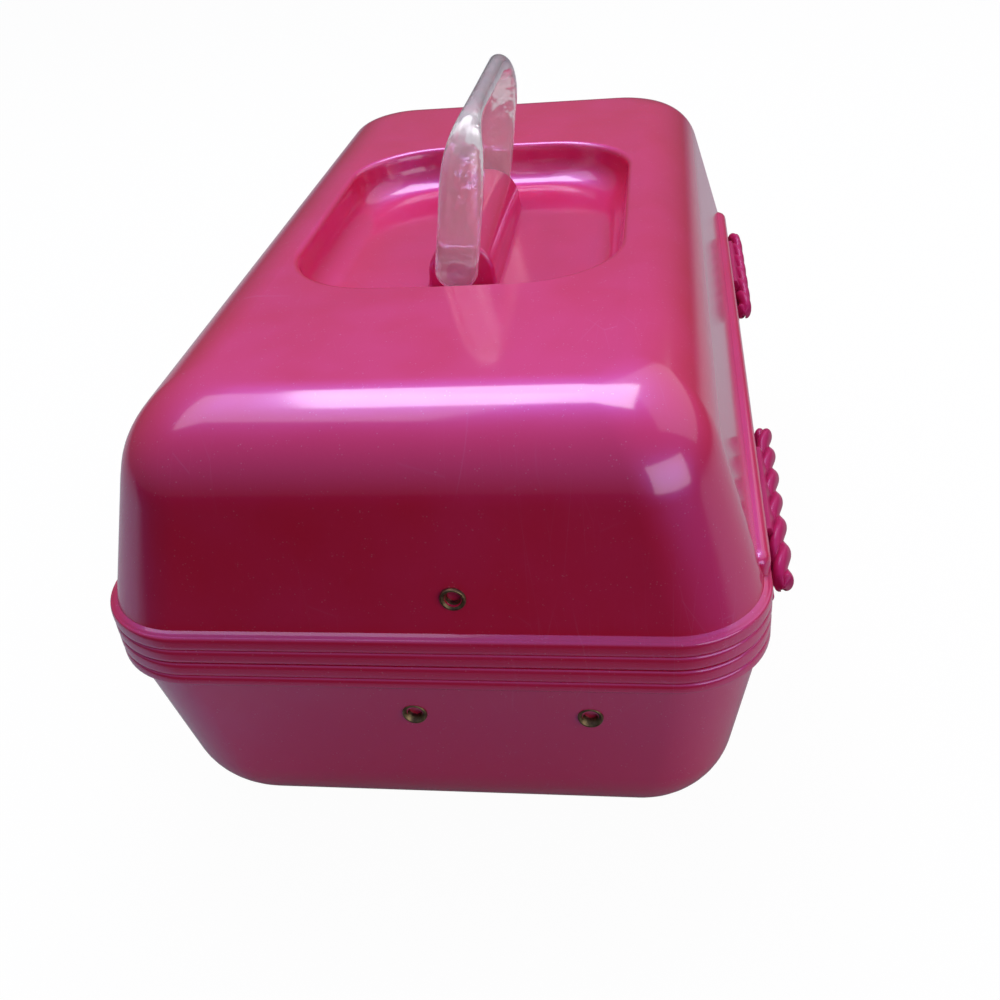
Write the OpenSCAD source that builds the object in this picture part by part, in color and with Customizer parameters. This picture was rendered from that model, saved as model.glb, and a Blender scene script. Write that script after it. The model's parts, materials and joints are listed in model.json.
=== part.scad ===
// Makeup storage case: a lidded case with a bail handle, two rope-grip latches and a tray
// that rises as the lid opens. Length runs along X, the latches face -Y, the hinges +Y,
// and the case stands on z = 0. All sizes are in millimetres.

/* [Case] */
// Length over the rim
case_length = 394; // [390:1:400]
// Depth over the rim, front to back
case_depth = 230; // [228:1:234]
// Height from the standing face to the top of the lid
case_height = 184; // [182:1:190]
// Height of the seam between base and lid
seam_z = 98.4; // [98:0.1:99]
// Radius of the rim's corners, seen from above
corner_r = 33; // [32:0.5:36]
// Wall thickness of the moulded shells
wall = 2.5; // [2:0.1:2.6]
// Segments in each rounded corner of the shells
corner_steps = 9; // [6:1:12]

/* [Lid] */
// Inset of the lid's wall behind its rim
lid_step = 2.95; // [2.5:0.05:3.2]
// Height where the lid's wall starts above the rim
lid_wall_z = 110.7; // [110:0.1:111.5]
// Draft of the end walls, mm of inset for each mm of height
end_draft = 0.11; // [0.08:0.01:0.14]
// Draft of the front and back walls
side_draft = 0.29; // [0.25:0.01:0.31]
// Radius of the rounded top edge along the ends
end_edge_r = 32.4; // [28:0.2:34]
// Radius of the rounded top edge along front and back
side_edge_r = 30.8; // [28:0.2:32]

/* [Base] */
// Height of the underside of the rim
rim_low_z = 88.7; // [88:0.1:89.5]
// Draft of the base's walls
base_draft = 0.174; // [0.15:0.01:0.2]
// Radius of the rounded bottom edge
bottom_r = 44.6; // [40:0.2:46]

/* [Handle] */
// Half the distance between the two legs of the bail
bail_half = 56.4; // [56:0.1:57]
// Height of the bail's pivot
pivot_z = 175.8; // [175:0.1:176]
// Height of the bail above its pivot, to the centre of the grip
bail_rise = 57; // [52:0.5:57]
// How far the bail leans to the front as it stands
bail_lean = 9.5; // [0:0.5:15]
// Width of the bail at its feet, front to back
foot_width = 17; // [16:0.5:17.5]
// Width of the bail at the top of the arch
grip_width = 7.4; // [7:0.2:10]
// Thickness of the bail's legs, along the case
leg_thick = 12.7; // [11:0.1:13]
// Thickness of the bail at the top of the arch
grip_thick = 8.8; // [8:0.1:9]

/* [Latches] */
// Distance of each latch from the middle of the case
latch_x = 108.5; // [106:0.5:112]
// Length of the rope grip
rope_length = 101; // [96:1:104]
// Length of one full turn of the rope's strands
rope_pitch = 32; // [28:1:40]

/* [Tray] */
// Length of the tray
tray_length = 366.4; // [366:0.2:367]
// Height of the underside of the tray with the lid shut
tray_low_z = 103.3; // [103:0.1:104]
// Depth of the tray's tub
tray_deep = 31.5; // [28:0.5:32]
// Distance between the pivots of each swinging arm
arm_length = 48; // [47.8:0.1:48.2]

/* [Hidden] */

case_pink = "#cf3f8a";
latch_pink = "#c8286e";
steel = "#b9bcc2";
bronze = "#7a6136";

half_l = case_length / 2;
half_d = case_depth / 2;
seam_gap = 0.3;
// smallest step that keeps two rings or two faces apart
hair = 0.01;

// ---- rim bands: four ridges between dark grooves, two on the lid and two on the base
band_pitch = 5.5;
groove_deep = 1.1;
band_in = 5.4;

// ---- recess in the lid top
recess_half_x = 86;
recess_half_y = 65;
recess_end_r = 500;
recess_corner_r = 39;
recess_floor_z = 166.5;

// ---- bar that carries the handle
bar_half = 46.5;
bar_top_z = 185;
bar_r = 13.5;
bar_side = 13.9;
bar_foot = 15;
bar_end_wall = 6;
stud_r = 4;
running = 0.05;

// ---- hinges at the back
hinge_y = 118.2;
hinge_z = seam_z;
hinge_x = 112;
knuckle_r = 5;
knuckle_side = 12;
knuckle_mid = 23;
knuckle_gap = 0.5;
pin_r = 1.5;

// ---- latches at the front
latch_pivot_y = -115.6;
latch_pivot_z = 83;
latch_half = 27.4;
lug_thick = 4;
barrel_r = 3;
rope_y = -119.3;
rope_z = 100;
rope_strand_r = 2.6;
rope_offset = 1.3;
nib_z = 108.3;
nib_high = 2.2;
pocket_slack = 0.5;

// ---- tray linkage, seen from the end as [y, z]
rear_pivot = [5, 73.5];
front_pivot = [-55, 73.5];
lid_pivot = [-14, 124];
arm_angle = 46.5;
arm_reach = [-arm_length * cos(arm_angle), arm_length * sin(arm_angle)];
rear_top = rear_pivot + arm_reach;
front_top = front_pivot + arm_reach;
link_end = [82, 127];
slot_half = 3;
slot_run = 3.2;
link_eye_r = 5.6;
rivet_r = 2.6;
rivet_hole_r = 1.8;
boss_x = 188.2;
boss_r = 7;
washer_x = 186.9;
washer_thick = 1.2;
arm_x = 184.8;
arm_thick = 2;
base_head_x = 192;
lid_head_x = 192.3;
head_seat_r = 4.7;
snug = 0.02;
tray_half = tray_length / 2;
tray_front_y = -95;
tray_back_y = 88;
tray_corner_r = 32;
tray_wall = 1.8;
eye_r = 6;

// ================= outlines =================

// Points along half of a ring's end, ahead of its corner
side_steps = 4;

// Upper half of an outline from its first quarter, then the whole ring turned about Z
function half_ring(q, hy) = concat(q, [[0, hy]], [for (i = [len(q) - 1:-1:1]) [-q[i].x, q[i].y]]);
function whole_ring(h, z) = concat([for (p = h) [p.x, p.y, z]], [for (p = h) [-p.x, -p.y, z]]);

// First quarter of a rectangle with rounded corners
function round_quarter(hx, hy, r) = concat(
    [for (i = [0:side_steps - 1]) [hx, (hy - r) * i / side_steps]],
    [for (i = [0:corner_steps]) let (a = 90 * i / corner_steps)
        [hx - r + r * cos(a), hy - r + r * sin(a)]]);
function round_ring(hx, hy, r, z) = whole_ring(half_ring(round_quarter(hx, hy, r), hy), z);

// First quarter of the recess: slightly bowed end, round corner, straight side, drawn in by d
function bow(y, d) = recess_half_x - d - recess_end_r + sqrt(pow(recess_end_r, 2) - y * y);
function recess_quarter(d) =
    let (r = recess_corner_r - 0.4 * d, cy = recess_half_y - d - r,
         a0 = asin(cy / (recess_end_r - r)), ye = cy + r * sin(a0), cx = bow(ye, d) - r * cos(a0))
    concat([for (i = [0:side_steps - 1]) let (y = ye * i / side_steps) [bow(y, d), y]],
        [for (i = [0:corner_steps]) let (a = a0 + (90 - a0) * i / corner_steps)
            [cx + r * cos(a), cy + r * sin(a)]]);
function recess_ring(d, z) = whole_ring(half_ring(recess_quarter(d), recess_half_y - d), z);

// Skin through a list of rings, closed by a fan at both ends, as one solid
function middle(ring) = [for (c = [0:2]) let (v = [for (p = ring) p[c]]) v * [for (p = v) 1] / len(v)];
module loft(rings) {
    n = len(rings[0]);
    m = len(rings);
    last = (m - 1) * n;
    sides = [for (k = [0:m - 2]) for (i = [0:n - 1]) let (j = (i + 1) % n)
        each [[(k + 1) * n + j, k * n + j, k * n + i], [(k + 1) * n + i, (k + 1) * n + j, k * n + i]]];
    ends = [for (i = [0:n - 1]) let (j = (i + 1) % n)
        each [[i, j, m * n], [last + j, last + i, m * n + 1]]];
    polyhedron(points = concat([for (r = rings) each r], [middle(rings[0]), middle(rings[m - 1])]),
        faces = concat(sides, ends), convexity = 10);
}
function reverse(v) = [for (i = [len(v) - 1:-1:0]) v[i]];

// ================= shell profiles =================

// Inset of a drafted wall that turns over into a rounded edge of radius r, ending at z_end
// with a total inset of top_in; h is the height left to z_end
function edge_in(h, r, top_in) = top_in - sqrt(max(0, r * r - pow(max(0, r - h), 2)));
function turned_in(z, z0, draft, z_end, r, in0, top_in) =
    let (h = abs(z_end - z), turn = r * (1 - sin(atan(draft))))
    h > turn ? in0 + draft * abs(z - z0) : edge_in(h, r, top_in);

// Total inset at the flat, found where wall and edge meet without a crease
function flat_in(z0, draft, z_end, r, in0) =
    let (a = atan(draft), h = r * (1 - sin(a))) in0 + draft * (abs(z_end - z0) - h) + r * cos(a);

end_flat = flat_in(lid_wall_z, end_draft, case_height, end_edge_r, lid_step);
side_flat = flat_in(lid_wall_z, side_draft, case_height, side_edge_r, lid_step);
base_step = 2.1;
base_flat = flat_in(rim_low_z, base_draft, 0, bottom_r, base_step);

// Ring of the lid's wall at height z, t inside its outer face
function lid_ring(z, t, zo) =
    let (ix = turned_in(zo, lid_wall_z, end_draft, case_height, end_edge_r - t, lid_step + t, end_flat),
         iy = turned_in(zo, lid_wall_z, side_draft, case_height, side_edge_r - t, lid_step + t, side_flat),
         r = corner_r - lid_step - 0.35 * (ix - lid_step - t) - t)
    round_ring(half_l - ix, half_d - iy, r, z);
function base_ring(z, t, zo) =
    let (i = turned_in(zo, rim_low_z, base_draft, 0, bottom_r - t, base_step + t, base_flat))
    round_ring(half_l - i, half_d - i, corner_r + 1.4 - 0.5 * (i - t) - t / 2, z);
function rim_ring(inset, z) = round_ring(half_l - inset, half_d - inset, corner_r - inset, z);

// One ridge of the rim from z upwards: groove edge, crest, crest
function ridge(z) = [[groove_deep, z], [0.25, z + 0.6], [0, z + 1.5], [0, z + band_pitch - 1.5],
    [0.25, z + band_pitch - 0.6]];

lid_low = seam_z + seam_gap;
lid_turn = [for (i = [0:8]) let (a = 6 + 84 * i / 8) case_height - end_edge_r * (1 - sin(a))];
lid_turn_in = [for (i = [0:5]) let (a = 14 + 76 * i / 5)
    case_height - wall - (end_edge_r - wall) * (1 - sin(a))];
base_turn = [for (i = [0:8]) let (a = 10 + 80 * i / 8) bottom_r * (1 - sin(a))];
base_turn_in = [for (i = [0:5]) let (a = 10 + 80 * i / 5) wall + (bottom_r - wall) * (1 - sin(a))];

lid_outside = concat(
    [for (p = concat(ridge(lid_low), ridge(lid_low + band_pitch))) rim_ring(p[0], p[1])],
    [rim_ring(1.2, lid_wall_z - 0.4)],
    [lid_ring(lid_wall_z, 0, lid_wall_z)],
    [for (z = lid_turn) lid_ring(z, 0, z)],
    [for (p = [[-1.6, 0], [-0.3, 0.5], [0.7, 2], [1.5, 7], [2.4, 10.2], [4.4, 13.6], [8, 16.4], [14, 17.5]])
        recess_ring(p[0], case_height - p[1])]);
// the same skin from below, from the underside of the recess down to the seam
lid_inside = concat(
    [for (p = [[14, 20], [7, 18.6], [2.2, 14.6], [0, 9], [-2.2, 2.6]])
        recess_ring(p[0], case_height - p[1])],
    [for (i = [5:-1:0]) lid_ring(lid_turn_in[i], wall, lid_turn_in[i] + wall * (i / 5))],
    [lid_ring(lid_wall_z, wall, lid_wall_z)],
    [rim_ring(band_in, lid_wall_z - 1), rim_ring(band_in, lid_low)]);

upstand_z = 101.2;
base_outside = concat(
    [for (i = [8:-1:0]) base_ring(base_turn[i], 0, base_turn[i])],
    [base_ring(rim_low_z, 0, rim_low_z)],
    [for (p = ridge(rim_low_z - 1.3)) if (p[1] > rim_low_z) rim_ring(p[0], p[1])],
    [for (p = ridge(seam_z - band_pitch)) rim_ring(p[0], p[1])],
    [rim_ring(groove_deep, seam_z - hair)]);
base_inside = concat(
    [rim_ring(6, seam_z), rim_ring(6, upstand_z), rim_ring(7.6, upstand_z), rim_ring(7.6, rim_low_z)],
    [base_ring(rim_low_z - 6, wall, rim_low_z - 6)],
    [for (i = [0:5]) base_ring(base_turn_in[i], wall, base_turn_in[i] - wall * (i / 5))]);

// ================= small shapes =================

module along_x(x0, x1, y, z, r) {
    translate([x0, y, z]) rotate([0, 90, 0]) cylinder(h = x1 - x0, r = r, $fn = 48);
}

// Bore along X through everything at one end of the case
module bore_through(p, r) {
    along_x(tray_half - 8, half_l + 3, p[0], p[1], r);
}

// Flat bar with round ends lying in the YZ plane from p to q, starting at x
module flat_bar(p, q, x, thick, r) {
    d = q - p;
    span = norm(d);
    translate([x, p[0], p[1]]) rotate([atan2(d[1], d[0]), 0, 0]) rotate([90, 0, 90])
        linear_extrude(thick) {
            circle(r, $fn = 48);
            translate([span, 0]) circle(r, $fn = 48);
            translate([0, -r]) square([span, 2 * r]);
        }
}

module both_ends() {
    children();
    mirror([1, 0, 0]) children();
}

// Hollow rivet along X: a rolled head at x_head, a tube, and a closed formed tail at x_tail
module eyelet(x_head, x_tail, p, head_r, head_h, tail_r, tail_h) {
    s = sign(x_head - x_tail);
    translate([x_tail, p[0], p[1]]) rotate([0, 90 * s, 0]) rotate_extrude($fn = 48) {
        length = abs(x_head - x_tail);
        translate([rivet_hole_r, -tail_h]) square([rivet_r - rivet_hole_r, length + tail_h + head_h * 0.6]);
        translate([0, -tail_h]) square([tail_r, tail_h]);
        translate([rivet_hole_r, length]) square([head_r - rivet_hole_r - head_h * 0.4, head_h * 0.6]);
        // rolled rim of the head
        intersection() {
            translate([rivet_hole_r, length]) square([head_r, head_h]);
            translate([(rivet_hole_r + head_r) / 2, length]) circle((head_r - rivet_hole_r) / 2, $fn = 32);
        }
    }
}

module washer(p, r_in) {
    translate([washer_x, p[0], p[1]]) rotate([0, 90, 0]) difference() {
        cylinder(h = washer_thick, r = 5.2, $fn = 48);
        translate([0, 0, -1]) cylinder(h = washer_thick + 2, r = r_in, $fn = 48);
    }
}

// ================= shells =================

module knuckle(x, length, z_low, z_high) {
    along_x(x - length / 2, x + length / 2, hinge_y, hinge_z, knuckle_r);
    translate([x - length / 2, half_d - 3, z_low])
        cube([length, hinge_y - half_d + 3, z_high - z_low]);
}

module knuckle_room(x, length) {
    along_x(x - length / 2 - knuckle_gap, x + length / 2 + knuckle_gap, hinge_y, hinge_z, knuckle_r + 0.4);
}

module base_shell() {
    color(case_pink) difference() {
        union() {
            difference() {
                loft(concat(base_outside, base_inside));
                for (s = [-1, 1]) knuckle_room(s * hinge_x, knuckle_mid);
            }
            // hinge knuckles moulded on the back of the rim
            for (s = [-1, 1]) for (t = [-1, 1])
                knuckle(s * hinge_x + t * (knuckle_mid + knuckle_side + 2 * knuckle_gap) / 2,
                    knuckle_side, rim_low_z + 1, seam_z - 0.3);
            // lugs that carry the latch pins
            for (s = [-1, 1]) for (t = [-1, 1])
                latch_lug(s * latch_x + t * (latch_half + 0.4 + lug_thick / 2));
            // flat seats for the tray arms
            both_ends() for (p = [rear_pivot, front_pivot])
                along_x(boss_x, base_head_x - 1.5, p[0], p[1], boss_r);
        }
        for (s = [-1, 1]) {
            along_x(s * hinge_x - 30, s * hinge_x + 30, hinge_y, hinge_z, pin_r + snug);
            along_x(s * latch_x - 40, s * latch_x + 40, latch_pivot_y, latch_pivot_z, pin_r + snug);
        }
        both_ends() for (p = [rear_pivot, front_pivot]) {
            bore_through(p, rivet_r + snug);
            along_x(base_head_x, half_l + 3, p[0], p[1], head_seat_r);
        }
    }
}

module latch_lug(x) {
    translate([x - lug_thick / 2, latch_pivot_y, latch_pivot_z]) rotate([90, 0, 90])
        linear_extrude(lug_thick) {
            circle(barrel_r, $fn = 48);
            translate([0, -barrel_r]) square([5, 2 * barrel_r]);
            polygon([[0.5, -barrel_r], [5.5, -barrel_r - 5], [5.5, 0], [0.5, 0]]);
        }
}

// Cross-section of the handle bar, drawn in the YZ plane: round top on flared sides down to z_low
module bar_section(t, z_low) {
    top_c = bar_top_z - bar_r;
    intersection() {
        translate([0, top_c]) circle(bar_r - t, $fn = 64);
        translate([-bar_r, top_c - hair]) square([2 * bar_r, bar_r + 1]);
    }
    polygon([[-bar_r + t, top_c], [-bar_side + t, recess_floor_z + 2 - t], [-bar_foot + t, z_low],
        [bar_foot - t, z_low], [bar_side - t, recess_floor_z + 2 - t], [bar_r - t, top_c]]);
}

module lid_shell() {
    color(case_pink) difference() {
        union() {
            difference() {
                loft(concat(lid_inside, lid_outside));
                for (s = [-1, 1]) for (t = [-1, 1])
                    knuckle_room(s * hinge_x + t * (knuckle_mid + knuckle_side + 2 * knuckle_gap) / 2,
                        knuckle_side);
            }
            for (s = [-1, 1]) knuckle(s * hinge_x, knuckle_mid, seam_z + 0.3, lid_low + 8.5);
            // bar across the recess, hollow from below between its end walls
            translate([-bar_half, 0, 0]) rotate([90, 0, 90]) linear_extrude(2 * bar_half)
                bar_section(0, recess_floor_z - wall + 0.1);
            front_pad();
            both_ends() along_x(boss_x, lid_head_x - 1.1, lid_pivot[0], lid_pivot[1], boss_r);
        }
        translate([-bar_half + bar_end_wall, 0, 0]) rotate([90, 0, 90])
            linear_extrude(2 * (bar_half - bar_end_wall)) bar_section(wall, recess_floor_z - wall - 0.3);
        // blind bores for the studs of the handle
        both_ends() along_x(bar_half - bar_end_wall - 1, bar_half + 1, 0, pivot_z, stud_r + running);
        for (s = [-1, 1]) {
            along_x(s * hinge_x - 30, s * hinge_x + 30, hinge_y, hinge_z, pin_r + running);
            // pocket that each latch hooks into
            translate([s * latch_x - latch_half - 0.6, -half_d - 1, nib_z - pocket_slack])
                cube([2 * latch_half + 1.2, 3.4, nib_high + 2 * pocket_slack]);
        }
        both_ends() {
            bore_through(lid_pivot, rivet_r + snug);
            along_x(lid_head_x, half_l + 3, lid_pivot[0], lid_pivot[1], head_seat_r);
        }
    }
}

// Shallow raised band along the foot of the lid's front wall, rounded at its ends
pad_half = 164;
pad_top_z = 118;
module front_pad() {
    pad_low_z = lid_low + 4;
    intersection() {
        translate([-pad_half, 0, 0]) rotate([90, 0, 90]) linear_extrude(2 * pad_half)
            polygon([[-half_d + 0.4, pad_low_z], [-half_d + 0.4, pad_top_z - 3.5],
                [-half_d + 0.9, pad_top_z - 1.4], [-half_d + 2.4, pad_top_z],
                [-half_d + 5.6, pad_top_z], [-half_d + 4, pad_low_z]]);
        translate([0, 0, pad_low_z - 1]) linear_extrude(pad_top_z - pad_low_z + 2)
            round_pocket(-pad_half, pad_half, -half_d + 0.4, -half_d + 20, 6);
    }
}

module hinge_pin(side) {
    color(steel) along_x(side * hinge_x - 25, side * hinge_x + 25, hinge_y, hinge_z, pin_r);
}
module hinge_pin_left() { hinge_pin(-1); }
module hinge_pin_right() { hinge_pin(1); }

// ================= handle =================

bail_power = 6;
bail_arch = 39;
bail_waist = 1.58;
bail_steps = 30;
bail_section = 14;

// Centre line of the bail in its own plane as [x, height, share of the way to the top]
function bail_point(s) =
    let (c = cos(s), k = sin(s))
    [-bail_half * sign(c) * pow(abs(c), 2 / bail_power),
     bail_rise - bail_arch + bail_arch * pow(abs(k), 2 / bail_power), k];
bail_path = concat(
    [[-bail_half, 2, 0]],
    [for (i = [0:bail_steps]) bail_point(180 * i / bail_steps)],
    [[bail_half, 2, 0]]);

// Squared oval at the feet that turns into a plain oval at the grip
function flat_oval(a, e) = [sign(cos(a)) * pow(abs(cos(a)), e), sign(sin(a)) * pow(abs(sin(a)), e)];
function bail_ring(i) =
    let (m = len(bail_path), p = bail_path[i],
         q = bail_path[min(i + 1, m - 1)] - bail_path[max(i - 1, 0)],
         d = [q[0], q[1]] / norm([q[0], q[1]]), n = [-d[1], d[0]],
         hw = (foot_width + (grip_width - foot_width) * pow(p[2], bail_waist)) / 2,
         ht = (leg_thick + (grip_thick - leg_thick) * p[2]) / 2)
    [for (k = [0:bail_section - 1]) let (o = flat_oval(360 * k / bail_section, 0.7 + 0.3 * p[2]))
        [p[0] + n[0] * ht * o[0], hw * o[1], p[1] + n[1] * ht * o[0]]];

module handle() {
    color("#e9dde3", 0.55) translate([0, 0, pivot_z]) rotate([bail_lean, 0, 0]) {
        difference() {
            union() {
                loft(reverse([for (i = [0:len(bail_path) - 1]) bail_ring(i)]));
                both_ends() along_x(bail_half - leg_thick / 2 + 0.1, bail_half + leg_thick / 2 - 0.1,
                    0, 0, foot_width / 2);
            }
            both_ends() along_x(bail_half - 20, bar_half + 0.6, 0, 0, foot_width / 2 + 2);
        }
        both_ends() along_x(bar_half - 5, bail_half, 0, 0, stud_r);
    }
}

// ================= latches =================

rope_steps = 40;
rope_sides = 12;

// Outline of two strands side by side, as distance from the rope's axis at angle a
function strand_reach(a) =
    let (c = abs(cos(a))) rope_offset * c + sqrt(pow(rope_strand_r, 2) - pow(rope_offset, 2) * (1 - c * c));
// The rope draws in to a rounded tip at both ends
function rope_taper(t) = sqrt(max(0.12, 1 - pow(abs(2 * t - 1), 26)));
function rope_ring(i) =
    let (t = i / rope_steps, x = rope_length * (t - 0.5), turn = 360 * x / rope_pitch)
    [for (k = [0:rope_sides - 1]) let (a = 360 * k / rope_sides, r = strand_reach(a) * rope_taper(t))
        [x, r * cos(a + turn), r * sin(a + turn)]];

module latch(side) {
    color(latch_pink) translate([side * latch_x, 0, 0]) difference() {
        union() {
            along_x(-latch_half, latch_half, latch_pivot_y, latch_pivot_z, barrel_r);
            rotate([90, 0, 90]) translate([0, 0, -latch_half]) linear_extrude(2 * latch_half)
                polygon([[latch_pivot_y - barrel_r, latch_pivot_z], [latch_pivot_y, latch_pivot_z],
                    [latch_pivot_y, nib_z], [-half_d + 1.6, nib_z], [-half_d + 1.9, nib_z + nib_high],
                    [-half_d - 1.6, nib_z + nib_high], [latch_pivot_y - barrel_r, nib_z - 1.5]]);
            translate([0, rope_y, rope_z])
                mirror([side > 0 ? 1 : 0, 0, 0])
                    loft([for (i = [0:rope_steps]) rope_ring(i)]);
        }
        along_x(-60, 60, latch_pivot_y, latch_pivot_z, pin_r + running);
        // core hole in each tip of the rope
        both_ends() along_x(rope_length / 2 - 4, rope_length / 2 + 2, rope_y, rope_z, 1.2);
    }
}
module latch_left() { latch(-1); }
module latch_right() { latch(1); }

module latch_pin(side) {
    color(steel) along_x(side * latch_x - latch_half - 4.4, side * latch_x + latch_half + 4.4,
        latch_pivot_y, latch_pivot_z, pin_r);
}
module latch_pin_left() { latch_pin(-1); }
module latch_pin_right() { latch_pin(1); }

// ================= tray linkage =================

head_r = 4.35;
head_h = 1.3;
tail_r = 4.1;
tail_h = 0.6;
module base_rivets() {
    color(bronze) both_ends() for (p = [rear_pivot, front_pivot])
        eyelet(base_head_x, arm_x - 0.1, p, head_r, head_h, tail_r, tail_h);
}
module lid_rivets() {
    color(bronze) both_ends() eyelet(lid_head_x, arm_x - 0.1, lid_pivot, head_r, head_h, tail_r, tail_h);
}
module base_washers() {
    color(steel) both_ends() for (p = [rear_pivot, front_pivot]) washer(p, rivet_r + 0.1);
}
module lid_washers() {
    color(steel) both_ends() washer(lid_pivot, rivet_r + 0.1);
}

module arm(p) {
    color(latch_pink) difference() {
        union() {
            flat_bar(p, p + arm_reach, arm_x, arm_thick, eye_r - 1);
            for (q = [p, p + arm_reach]) along_x(arm_x, arm_x + arm_thick, q[0], q[1], eye_r);
        }
        bore_through(p, rivet_r + running);
        bore_through(p + arm_reach, rivet_r + running);
    }
}
module rear_arm_right() { arm(rear_pivot); }
module rear_arm_left() { mirror([1, 0, 0]) arm(rear_pivot); }
module front_arm_right() { arm(front_pivot); }
module front_arm_left() { mirror([1, 0, 0]) arm(front_pivot); }

// Link from the lid to the tray: a plain eye on the lid, a short slot on the tray's stud
module lid_link() {
    back = (lid_pivot - link_end) / norm(link_end - lid_pivot);
    color(latch_pink) difference() {
        union() {
            flat_bar(lid_pivot, link_end, arm_x, arm_thick, eye_r - 1);
            along_x(arm_x, arm_x + arm_thick, lid_pivot[0], lid_pivot[1], eye_r);
            flat_bar(link_end + back * slot_run, link_end, arm_x, arm_thick, link_eye_r);
        }
        bore_through(lid_pivot, rivet_r + running);
        flat_bar(link_end + back * slot_run, link_end, arm_x - 1, arm_thick + 2, slot_half);
    }
}
module lid_link_right() { lid_link(); }
module lid_link_left() { mirror([1, 0, 0]) lid_link(); }

module tray_outline(inset) {
    r = tray_corner_r - inset;
    depth = tray_back_y - tray_front_y - 2 * inset;
    translate([0, (tray_front_y + tray_back_y) / 2]) union() {
        square([tray_length - 2 * inset - 2 * r, depth], center = true);
        square([tray_length - 2 * inset, depth - 2 * r], center = true);
        for (sx = [-1, 1]) for (sy = [-1, 1])
            translate([sx * (tray_half - inset - r), sy * (depth / 2 - r)]) circle(r, $fn = 96);
    }
}

module round_pocket(x0, x1, y0, y1, r) {
    for (x = [x0 + r, x1 - r]) for (y = [y0 + r, y1 - r]) translate([x, y]) circle(r, $fn = 32);
    translate([x0 + r, y0]) square([x1 - x0 - 2 * r, y1 - y0]);
    translate([x0, y0 + r]) square([x1 - x0, y1 - y0 - 2 * r]);
}

rib = 1.6;
front_row = tray_front_y + tray_wall;
front_row_end = -34;
mid_row_end = 36;
back_row_end = tray_back_y - tray_wall;
front_cells = 5;
back_cells = 2;
inner_half = tray_half - tray_wall;
module tray_pockets() {
    fw = (2 * inner_half + rib) / front_cells;
    for (i = [0:front_cells - 1]) round_pocket(-inner_half + i * fw, -inner_half + (i + 1) * fw - rib,
        front_row, front_row_end, 4);
    for (s = [-1, 1]) round_pocket(min(s * rib / 2, s * inner_half), max(s * rib / 2, s * inner_half),
        front_row_end + rib, mid_row_end, 3);
    bw = (2 * inner_half + rib) / back_cells;
    for (i = [0:back_cells - 1]) round_pocket(-inner_half + i * bw, -inner_half + (i + 1) * bw - rib,
        mid_row_end + rib, back_row_end, 5);
}

module tray_ear(y0, y1, z, p) {
    translate([tray_half - 2, y0, z - eye_r]) cube([2, y1 - y0, 2 * eye_r]);
    along_x(tray_half - 2, arm_x - 0.2, p[0], p[1], eye_r);
}

// Thickness of the tray's wall behind its rear pivots
tray_pad = 3.4;
module tray() {
    color("#d98ab0") difference() {
        union() {
            translate([0, 0, tray_low_z]) linear_extrude(tray_deep) tray_outline(0);
            both_ends() {
                tray_ear(front_top[0], -50, front_top[1], front_top);
                tray_ear(rear_top[0], rear_top[0] + 1, rear_top[1], rear_top);
                tray_ear(50, link_end[0], link_end[1], link_end);
            }
        }
        difference() {
            translate([0, 0, tray_low_z + 1.8]) linear_extrude(tray_deep) intersection() {
                tray_outline(tray_wall);
                tray_pockets();
            }
            // a pad behind each pivot keeps the wall whole where an ear leaves it
            both_ends() {
                translate([tray_half - tray_pad, rear_top[0] - eye_r, tray_low_z])
                    cube([tray_pad, 2 * eye_r, 2 * eye_r + 1]);
            }
        }
        both_ends() for (p = [front_top, rear_top, link_end]) bore_through(p, rivet_r + snug);
    }
}

// Small enough to clear the tray's floor
arm_tail_r = 3.1;
module arm_rivets() {
    color(bronze) both_ends() {
        eyelet(arm_x + arm_thick + 0.1, tray_half - 2, front_top, 4.2, 0.8, arm_tail_r, 0.7);
        eyelet(arm_x + arm_thick + 0.1, tray_half - tray_pad, rear_top, 4.2, 0.8, arm_tail_r, 0.7);
    }
}

// Studs on the tray that ride in the slots of the lid links
module link_studs() {
    color(steel) both_ends() {
        along_x(tray_half - 2, arm_x - 0.2, link_end[0], link_end[1], rivet_r);
        along_x(arm_x - 0.2, arm_x + arm_thick + 0.2, link_end[0], link_end[1], 2);
        along_x(arm_x + arm_thick + 0.2, arm_x + arm_thick + 0.8, link_end[0], link_end[1], 4);
    }
}

// ================= mirror inside the lid =================

mirror_z = recess_floor_z - wall;
module mirror_frame() {
    color(case_pink) difference() {
        translate([0, 0, mirror_z - 3]) linear_extrude(3) round_pocket(-66, 66, -49, 49, 8);
        translate([0, 0, mirror_z - 4]) linear_extrude(3) round_pocket(-61, 61, -44, 44, 5);
        translate([0, 0, mirror_z - 2]) linear_extrude(3) round_pocket(-56, 56, -39, 39, 4);
    }
}
module mirror_glass() {
    color("#c9d6de") translate([0, 0, mirror_z - 2.9]) linear_extrude(1.9)
        round_pocket(-60.8, 60.8, -43.8, 43.8, 4.8);
}

base_shell();
lid_shell();
hinge_pin_left();
hinge_pin_right();
handle();
latch_left();
latch_right();
latch_pin_left();
latch_pin_right();
base_rivets();
base_washers();
lid_rivets();
lid_washers();
rear_arm_left();
rear_arm_right();
front_arm_left();
front_arm_right();
lid_link_left();
lid_link_right();
tray();
arm_rivets();
link_studs();
mirror_frame();
mirror_glass();  // mirror
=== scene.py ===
# %% [markdown]
# # A pink makeup case with a clear bail handle
#
# This lesson dresses a lidded makeup case. Its joints and hidden fittings come from a CAD
# model, which is loaded first as a fixed frame. The large moulded shells, the handle, the
# eyelets and the latches are then modelled again in Blender, because a moulded shell needs
# smooth fillets and a real skin, and each new piece takes the place of its CAD solid.

# %% The frame
import json
import math

import bpy
from mathutils import Matrix, Vector


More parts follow.
